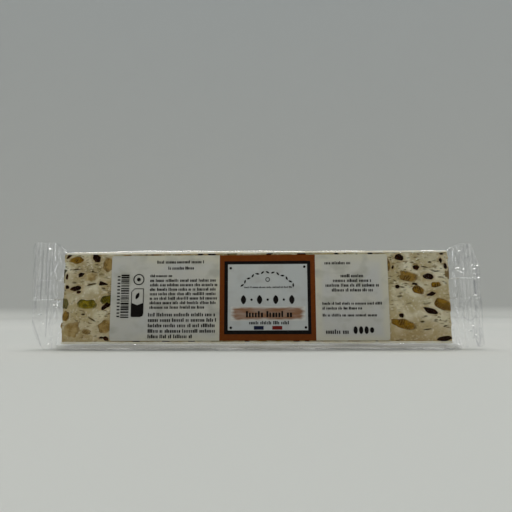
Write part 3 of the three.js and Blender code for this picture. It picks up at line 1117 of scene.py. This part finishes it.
# The brown field in the middle of the sticker, its black frame and the white panel in it: x, z, x, z.
FIELD = (-16.2, 4.4, 28.5, 44.2)
FRAME = (-14.0, 7.3, 26.3, 41.3)
PANEL = (-12.3, 9.1, 24.8, 39.8)
PANEL_DOTS = [(-11.0, 38.0), (23.5, 38.5), (-10.9, 10.3), (23.8, 10.4)]
DOT_RADIUS = 0.6
STROKE = (-11.0, 13.5, 23.7, 20.1)
STROKE_LAYER = 4
BLUE_BAR = (-0.2, 9.4, 4.3, 11.1)
RED_BAR = (8.3, 9.4, 12.9, 11.1)
MARKS_LAYER = 6
MARKS_SEED = 23
SMALL = 1.05  # height of small type


def on_paper(x, z, layer):
    """Places on the sticker's face, at a layer of print."""
    return np.column_stack([x, np.full(len(x), PAPER_FACE - layer * PRINT_STEP), z])


def sticker_lowness(z):
    """From 0 at the sticker's top to 1 at its foot."""
    return np.clip((label_high.z - z) / (label_high.z - label_low.z), 0, 1)


def sticker_warmth(points):
    """How much of the nougat's cream shows through the sticker: most along its edges and beside the field."""
    x, _, z = points.T
    warm = 1 - smooth_step(label_high.z - z, 0.5, 5)
    warm = np.maximum(warm, 1 - smooth_step(z - label_low.z, 0, 4))
    for edge, reach in ((FIELD[0], 3.5), (FIELD[2], 4.5), (LABEL_RIGHT, 5)):
        warm = np.maximum(warm, 1 - smooth_step(np.abs(x - edge), 0.5, reach))
    patches = 0.5 + 0.5 * noise_at(points, 8, 4)
    grey = 1 - smooth_step(x - LABEL_LEFT, 10, 20)
    return np.clip(warm * (0.8 + 0.3 * patches) + 0.35 * patches, 0, 1) * (1 - 0.75 * grey)


class Print(Heap):
    """Flat shapes of one ink, each a thin plate in the same layer of print."""

    def __init__(self, layer):
        super().__init__()
        self.layer = layer

    def shape(self, outline):
        """A plate from its outline, as points of x and z, anticlockwise seen from the front."""
        x, z = np.transpose(outline)
        self.add_lofted([on_paper(x, z, self.layer - PLATE_LAYERS), on_paper(x, z, self.layer)])

    def bar(self, x0, z0, x1, z1):
        self.shape([(x0, z0), (x1, z0), (x1, z1), (x0, z1)])

    def oval(self, x, z, wide, tall, tilt=0.0, point=0.0, count=20):
        """An ellipse of these half widths. With `point` its ends are drawn out, as on a leaf or an almond."""
        angles = np.arange(count) / count * TURN
        v = tall * np.sin(angles) * (1 - point * np.cos(angles) ** 2)
        self.shape(np.column_stack(turned(wide * np.cos(angles), v, x, z, tilt)))

    def ring(self, x, z, radius, stroke, count=28):
        """A round line."""
        angles = np.arange(count + 1) / count * TURN
        ways = np.column_stack([np.cos(angles), np.sin(angles)])
        inner, outer = ((x, z) + ways * (radius + shift) for shift in (-stroke / 2, stroke / 2))
        for n in range(count):
            self.shape([inner[n + 1], inner[n], outer[n], outer[n + 1]])

    def words(self, x0, x1, z, height, draw, centred=False):
        """A line of small upright marks in groups, as type looks from too far off to read."""
        mark, gap = height * 0.42, height * 0.24
        marks = []
        x = x0
        while x < x1:
            for _ in range(draw.randint(2, 9)):
                if x + mark > x1:
                    break
                marks.append((x, mark * draw.uniform(0.75, 1.15), height * draw.choice((1, 1, 1, 1.35))))
                x += mark + gap
            x += height * 0.55
        shift = (x1 - (marks[-1][0] + marks[-1][1])) / 2 if centred else 0
        for left, width, tall in marks:
            self.bar(left + shift, z, left + shift + width, z + tall)

    def finish(self, name, material):
        low = sticker_lowness(np.array(self.points)[:, 2])
        return super().finish(name, material, "label_print", smooth=False, low=low)


def label_paper(material):
    """The sticker's own sheet, with round corners."""
    low = np.array([LABEL_LEFT, label_low.z])
    high = np.array([LABEL_RIGHT, label_high.z])
    xs, zs = (
        banded((first, first + LABEL_CORNER, last - LABEL_CORNER, last), PAPER_STEPS)
        for first, last in zip(low, high)
    )
    points, faces = block(xs, [PAPER_FACE, label_high.y], zs)
    straight = (high - low) / 2 - LABEL_CORNER  # from the sheet's middle to where its corners begin
    local = points[:, [0, 2]] - (low + high) / 2
    past = np.abs(local) - straight
    in_corner = (past > 0).all(axis=1)
    past = past[in_corner]
    past *= (past.max(axis=1) / np.linalg.norm(past, axis=1))[:, None]
    local[in_corner] = np.sign(local[in_corner]) * (straight + past)
    points[:, [0, 2]] = local + (low + high) / 2
    values = {"low": sticker_lowness(points[:, 2]), "warmth": sticker_warmth(points)}
    piece = new_piece("label_sheet", points, faces, material, "label_paper", smooth=False, **values)
    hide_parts("label")


def label_fields(inks):
    """The brown field, the black frame, the white panel, and the two short bars."""
    for name, box, layer, ink in (
        ("label_field", FIELD, 1, "brown"),
        ("label_frame", FRAME, 2, "black"),
        ("label_panel", PANEL, 3, "paper"),
        ("label_blue_bar", BLUE_BAR, 5, "blue"),
        ("label_red_bar", RED_BAR, 5, "red"),
    ):
        plate = Print(layer)
        plate.bar(*box)
        plate.finish(name, inks[ink])


def label_stroke(material):
    """The soft brown stroke across the panel, with its fade towards each edge as a value on its points."""
    x0, z0, x1, z1 = STROKE
    face = PAPER_FACE - STROKE_LAYER * PRINT_STEP
    points, faces = block(steps(x0, x1, 0.4), [face, face + PRINT_STEP], steps(z0, z1, 0.25))
    along = np.abs(points[:, 0] - (x0 + x1) / 2) / ((x1 - x0) / 2)
    up = np.abs(points[:, 2] - (z0 + z1) / 2) / ((z1 - z0) / 2)
    ragged = noise_at(points, (3, LEVEL, 0.7), 5)
    ends = 1 - smooth_step(along + 0.05 * ragged, 0.86, 1.0)
    sides = 1 - smooth_step(up + 0.15 * ragged, 0.6, 1.0)
    values = {"edge": ends * sides, "low": sticker_lowness(points[:, 2])}
    new_piece("label_stroke", points, faces, material, "label_print", smooth=False, **values)


def label_marks(inks):
    """All that is printed small: lines of marks, the ornament, the stripes and the two plain signs."""
    draw = random.Random(MARKS_SEED)
    dark = Print(MARKS_LAYER)
    for x, z in PANEL_DOTS:
        dark.oval(x, z, DOT_RADIUS, DOT_RADIUS)
    ornament(dark)
    for x0, x1, z, height in ((-4.8, 17.8, 28.6, 0.6), (-2.6, 16.2, 11.8, 1.15), (-4.6, 18.2, 15.1, 2.1)):
        dark.words(x0, x1, z, height, draw, centred=True)
    left_text(dark, draw)
    right_text(dark, draw)
    stripes(dark, draw)
    signs(dark)
    dark.finish("label_marks", inks["black"])


def ornament(dark):
    """A row of almonds and dots, under an arch of small leaves."""
    for n in range(7):
        x = -5.0 + n * 3.75
        if n % 2:
            dark.oval(x, 23.2, 0.55, 0.55)
        else:
            dark.oval(x, 23.2, 2.1, 1.25, tilt=90, point=0.45)
    for n in range(13):
        angle = 152 - n * 124 / 12
        x = 6.3 + 13.5 * math.cos(math.radians(angle))
        z = 24.5 + 11.5 * math.sin(math.radians(angle))
        dark.oval(x, z, 1.0, 0.42, tilt=angle - 90 + (28 if n % 2 else -28), point=0.6, count=12)
    dark.ring(6.3, 32.6, 0.9, 0.35)


def left_text(dark, draw):
    dark.words(-46.0, -23.5, 40.4, SMALL, draw, centred=True)
    dark.words(-40.5, -28.5, 37.5, SMALL, draw, centred=True)
    dark.words(-49.0, -38.5, 34.0, 0.9, draw)
    for n in range(7):
        dark.words(-49.0, -17.0 - 0.8 * draw.random() - (6 if n == 6 else 0), 31.7 - n * 2.09, SMALL, draw)
    for n in range(5):
        last = -17.2 - 0.9 * draw.random() - (11 if n == 4 else 0)
        dark.words(-49.6, last, 15.6 - n * 2.5, 1.25, draw)


def right_text(dark, draw):
    dark.words(33.0, 45.5, 39.5, SMALL, draw)
    for width, z in ((11, 33.4), (18, 31.2), (25, 29.0), (19, 26.8)):
        dark.words(45.5 - width / 2, 45.5 + width / 2, z, 1.1, draw, centred=True)
    for last, z in ((59.0, 20.7), (49.9, 18.5), (56.5, 15.3)):
        dark.words(31.6, last, z, 0.95, draw)
    dark.words(33.0, 43.6, 7.4, 1.5, draw)
    for n in range(4):
        dark.oval(46.5 + n * 2.5, 9.1, 0.95, 1.75 if n < 3 else 1.3, count=16)


def stripes(dark, draw):
    """A stack of level stripes of uneven thickness, with a row of small marks beside it."""
    z = 15.0
    while z < 35.2:
        thick = draw.choice((0.25, 0.25, 0.5, 0.75))
        dark.bar(-62.7, z, -58.9, z + thick)
        z += thick + draw.choice((0.25, 0.4, 0.6))
    for n in range(13):
        dark.bar(-64.5, 15.4 + n * 1.55, -63.2, 16.0 + n * 1.55)


def signs(dark):
    """A plain ring with a dot, and under it a box with two round corners whose lower part is filled."""
    dark.ring(-54.4, 32.9, 2.4, 0.45)
    dark.oval(-54.4, 32.9, 0.9, 0.9)
    x0, x1, z0, z1 = -57.8, -51.9, 15.4, 28.7
    middle, filled, dip = (x0 + x1) / 2, 22.0, 1.1
    stroke, curve, nick = 0.3, 1.6, 0.4
    foot = [(x0, z0 + nick), (x0 + nick, z0), (x1 - curve, z0), (x1 - nick, z0 + nick), (x1, z0 + curve)]
    dark.shape([*foot, (x1, filled), (middle, filled - dip), (x0, filled)])
    dark.bar(x0, filled, x0 + stroke, z1 - curve)
    dark.bar(x1 - stroke, filled, x1, z1)
    dark.bar(x0 + curve, z1 - stroke, x1, z1)
    dark.shape([(x0, z1 - curve), (x0 + stroke, z1 - curve), (x0 + curve, z1 - stroke), (x0 + curve, z1)])
    dark.oval(middle, 25.2, 1.7, 0.8, tilt=65, point=0.5)


# ---- Backdrop, light and camera ----

WALL_RADIUS = 3.0
WALL_SIDES = 96
WALL_HEIGHT = 5.5
GREY_HEIGHT = 2.4  # where the wall is at its greyest
COVE_RADIUS = 0.07
COVE_STEPS = 24


def backdrop():
    """A pale table top with a greyer wall all round it, joined by a small cove."""
    look = Look("backdrop")
    height = look.add("SeparateXYZ", {"Vector": look.add("TexCoord", {})["Object"]})[2]
    pale = look.mix(look.spots(3, 0.3, 0.7), colour(227, 228, 225), colour(223, 225, 222))
    grey = look.mix(look.ramp(height, 0, GREY_HEIGHT), colour(211, 212, 210), colour(177, 181, 182))
    rise = look.ramp(height, 0.4 * COVE_RADIUS, COVE_RADIUS)
    material = look.principled(look.mix(rise, pale, grey), 0.9, 0.0)
    foot = WALL_RADIUS - COVE_RADIUS
    profile = [(0.2 * foot, 0.0), (0.95 * foot, 0.0), (foot, 0.0)]
    for n in range(1, COVE_STEPS + 1):
        turn = n / COVE_STEPS * TURN / 4
        profile.append((foot + COVE_RADIUS * math.sin(turn), COVE_RADIUS * (1 - math.cos(turn))))
    profile.append((WALL_RADIUS, WALL_HEIGHT))
    angles = [-n / WALL_SIDES * TURN for n in range(WALL_SIDES)]
    points = [(reach * math.cos(a), reach * math.sin(a), z) for reach, z in profile for a in angles]
    faces = loft(len(profile), WALL_SIDES)[:-1]  # open at the top, for the light
    sheet = add_mesh("backdrop", points, faces, material)


def area_light(name, place, target, size, power, tint, gloss_only=False):
    """A rectangular light. With `gloss_only` it shows in what is glossy and lights nothing else."""
    data = bpy.data.lights.new(name, "AREA")
    data.shape = "RECTANGLE"
    data.size, data.size_y = size
    data.energy = power
    data.color = tint
    lamp = add_object(name, data)
    lamp.location = place
    lamp.rotation_euler = (Vector(target) - Vector(place)).to_track_quat("-Z", "Y").to_euler()
    lamp.visible_diffuse = not gloss_only


def lights():
    """A wide soft light overhead and dim light from all round. The film also mirrors an upright strip towards
    each of the pack's corners, a panel to the front right, and two small lamps that make it glint."""
    area_light("overhead", (0, 0.3, 5), (0, 0.3, 0), (4.4, 2.8), 131, (1.0, 0.99, 0.96))
    for depth, y in (("front", -1), ("back", 1)):
        for side, x in (("left", -1), ("right", 1)):
            place, target = (0.65 * x, 0.42 * y, 0.26), (0.1 * x, 0, 0.03)
            name = f"strip_{depth}_{side}"
            area_light(name, place, target, (0.14, 0.5), 0.5, (0.97, 0.98, 1.0), gloss_only=True)
    area_light("panel", (0.85, -1.4, 0.3), (0.1, 0, 0.03), (0.5, 0.5), 1.0, (1.0, 0.97, 0.9), gloss_only=True)
    for name, x in (("lamp_left", -0.4), ("lamp_right", 0.4)):
        area_light(name, (x, -0.8, 0.9), (0, 0, 0), (0.05, 0.05), 0.3, (1.0, 0.98, 0.94))
    world = bpy.data.worlds.new("studio")
    world.use_nodes = True
    background = world.node_tree.nodes["Background"]
    background.inputs["Color"].default_value = colour(214, 220, 224)
    background.inputs["Strength"].default_value = 0.04
    bpy.context.scene.world = world


# The camera stands low before the bar, a little to its right, and looks slightly up and to the left.
CAMERA_PLACE = Vector((BAR_X + 7.1, -219.4, 15.9)) * MM
CAMERA_UP, CAMERA_LEFT, CAMERA_ROLL = (math.radians(angle) for angle in (7.45, 1.67, -0.2))
FOCAL_LENGTH = 32.0
SENSOR_WIDTH = 36


def camera():
    data = bpy.data.cameras.new("camera")
    data.sensor_width = SENSOR_WIDTH
    data.lens = FOCAL_LENGTH
    data.clip_start = 0.005
    view = add_object("camera", data)
    turn = Matrix.Rotation(CAMERA_LEFT, 4, "Z") @ Matrix.Rotation(math.pi / 2 + CAMERA_UP, 4, "X")
    view.matrix_world = Matrix.Translation(CAMERA_PLACE) @ turn @ Matrix.Rotation(CAMERA_ROLL, 4, "Z")
    bpy.context.scene.camera = view


# ---- The whole ----


def build():
    bits = all_bits()
    nougat_core(bits, nougat_material())
    almond_shades = colour(172, 140, 72), colour(148, 108, 6), colour(70, 42, 2)
    almond = nut_material("almond", *almond_shades, line_scale=0.33, rim_strength=0.5)
    pistachio_shades = colour(156, 136, 30), colour(96, 86, 16), colour(40, 40, 6)
    pistachio = nut_material("pistachio", *pistachio_shades, line_scale=0.36, rim_strength=0.8)
    kinds = {
        "almond": ("almonds", almond),
        "pistachio": ("pistachios", pistachio),
        "caramel": ("caramel_bits", caramel_material()),
    }
    set_bits(bits, kinds)
    crumb(almond)
    # The slits' dark colour is painted shade in the gaps.
    slit_gaps(ink_material("slit", colour(70, 54, 26), colour(112, 94, 56)))
    wafers(wafer_material())
    clear = film_material()
    film(clear)
    pinches(clear)
    back_seal(clear)
    sheet_shades = colour(219, 215, 197), colour(208, 208, 206), colour(194, 193, 182)
    panel_shades = colour(214, 214, 208), colour(204, 208, 208), colour(196, 197, 194)
    inks = {
        "paper": paper_material("panel_paper", *panel_shades),
        "brown": ink_material("brown_ink", colour(122, 60, 8), colour(112, 54, 8)),
        "black": ink_material("black_ink", colour(10, 6, 4), colour(22, 15, 11)),
        "blue": ink_material("blue_ink", colour(18, 26, 56), colour(24, 32, 66)),
        "red": ink_material("red_ink", colour(118, 26, 22), colour(128, 34, 28)),
    }
    label_paper(paper_material("label_paper", *sheet_shades))
    label_fields(inks)
    label_stroke(brushed_material(colour(150, 108, 78), colour(221, 220, 214)))
    label_marks(inks)
    backdrop()
    lights()
    camera()
    bpy.context.scene.view_settings.view_transform = "Standard"


build()
